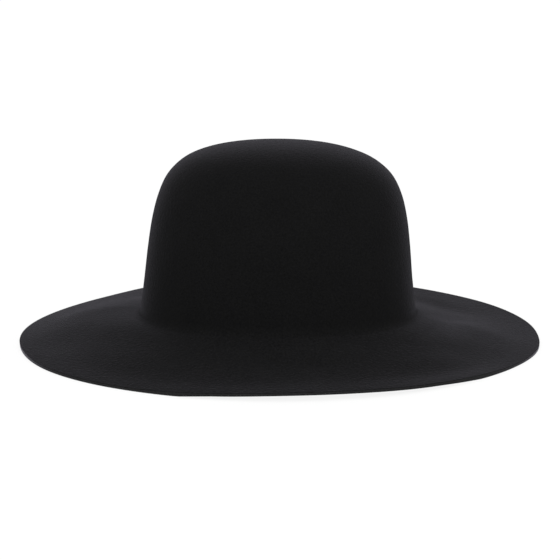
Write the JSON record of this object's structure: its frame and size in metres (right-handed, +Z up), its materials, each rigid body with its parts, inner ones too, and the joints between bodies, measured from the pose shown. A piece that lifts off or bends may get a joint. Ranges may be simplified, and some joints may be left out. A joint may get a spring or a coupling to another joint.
{
  "type": "wide-brim felt hat",
  "caption": "Black felt hat with a tall round crown and a wide, gently drooping flat brim with a raw cut edge, hollow for the head.",
  "frame": {"origin": "on the surface that the hat rests on, under the middle of the brim", "axes": "+Z up, -Y towards the front of the hat, +X towards the wearer's left; the oval's long axis runs along Y"},
  "size_m": [0.336, 0.371, 0.1299],
  "materials": {
    "felt": "matte wool felt with a short dense nap"
  },
  "bodies": {
    "root": {"felt_body": "felt"}
  },
  "joints": []
}
